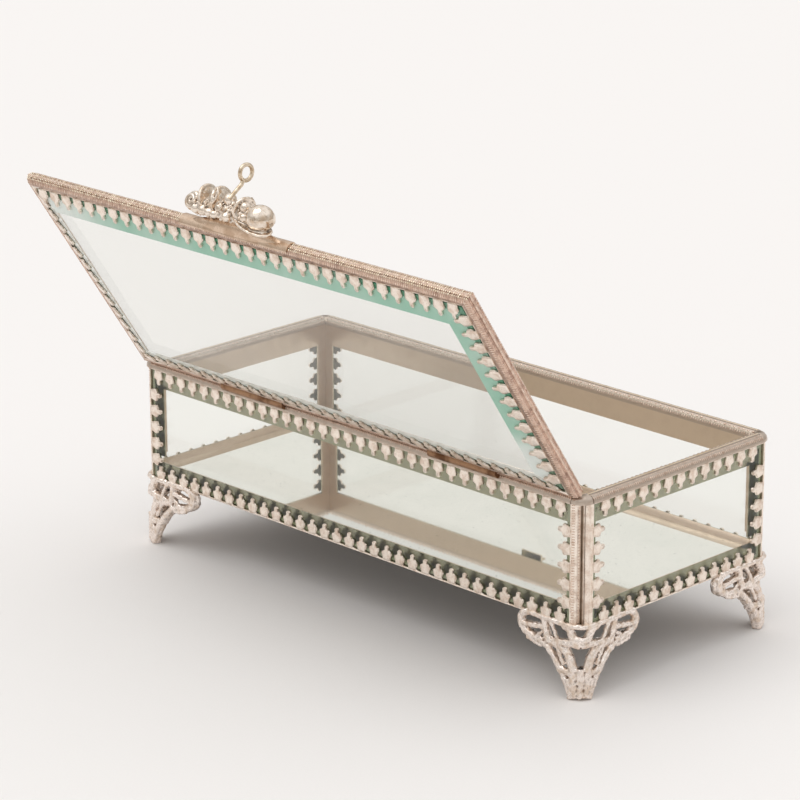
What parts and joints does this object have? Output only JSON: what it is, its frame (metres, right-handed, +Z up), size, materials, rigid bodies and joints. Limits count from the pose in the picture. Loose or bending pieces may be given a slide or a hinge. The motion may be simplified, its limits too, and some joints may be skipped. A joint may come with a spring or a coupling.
{
  "type": "footed glass casket box",
  "caption": "Long glass keepsake box with a mirror base, stamped metal gallery strips, cast openwork feet and a hinged bevelled glass lid, shown open.",
  "frame": {"origin": "on the ground, under the middle of the whole piece with its lid open", "axes": "+Z up, X along the box's length, +Y towards the hinge side; the keeper and clasp are on the -Y side"},
  "size_m": [0.202, 0.1444, 0.1573],
  "materials": {
    "gallery_strip": "stamped gilt brass, worn silvery pink",
    "gilt_solder": "gilt, worn",
    "bright_gilt": "polished pale gilt",
    "hinge_brass": "dull, brown with age",
    "cast_feet": "cast, gilt worn off the high places",
    "pane_glass": "clear, faintly green",
    "lid_glass": "clear, bevelled, faintly green",
    "mirror": "silvered plate, grey paint behind"
  },
  "bodies": {
    "box": {"base_mirror": "mirror", "pane_front": "pane_glass", "pane_back": "pane_glass", "pane_left": "pane_glass", "pane_right": "pane_glass", "top_rail_front": "gallery_strip", "top_rail_back": "gallery_strip", "top_rail_left": "gallery_strip", "top_rail_right": "gallery_strip", "base_rail_front": "gallery_strip", "base_rail_back": "gallery_strip", "base_rail_left": "gallery_strip", "base_rail_right": "gallery_strip", "upright_front_left": "gallery_strip", "upright_front_right": "gallery_strip", "upright_back_left": "gallery_strip", "upright_back_right": "gallery_strip", "upright_left_front": "gallery_strip", "upright_left_back": "gallery_strip", "upright_right_front": "gallery_strip", "upright_right_back": "gallery_strip", "cap_front_left": "gilt_solder", "cap_front_right": "gilt_solder", "cap_back_left": "gilt_solder", "cap_back_right": "gilt_solder", "foot_front_left": "cast_feet", "foot_front_right": "cast_feet", "foot_back_left": "cast_feet", "foot_back_right": "cast_feet", "hinge_leaf_left": "hinge_brass", "hinge_leaf_right": "hinge_brass", "hinge_pin_left": "hinge_brass", "hinge_pin_right": "hinge_brass", "keeper": "bright_gilt"},
    "lid": {"lid_glass": "lid_glass", "lid_rail_front": "gallery_strip", "lid_rail_back": "gallery_strip", "lid_rail_left": "gallery_strip", "lid_rail_right": "gallery_strip", "lid_knuckles_left": "hinge_brass", "lid_knuckles_right": "hinge_brass", "handle_plate": "bright_gilt", "finial": "bright_gilt", "catch_wire": "bright_gilt"}
  },
  "joints": [
    {"name": "lid_hinge", "type": "hinge", "parent": "box", "child": "lid", "pos_m": [0, 0.0191, 0.067], "axis": [1, 0, 0], "range_deg": [0, 123.6]}
  ]
}
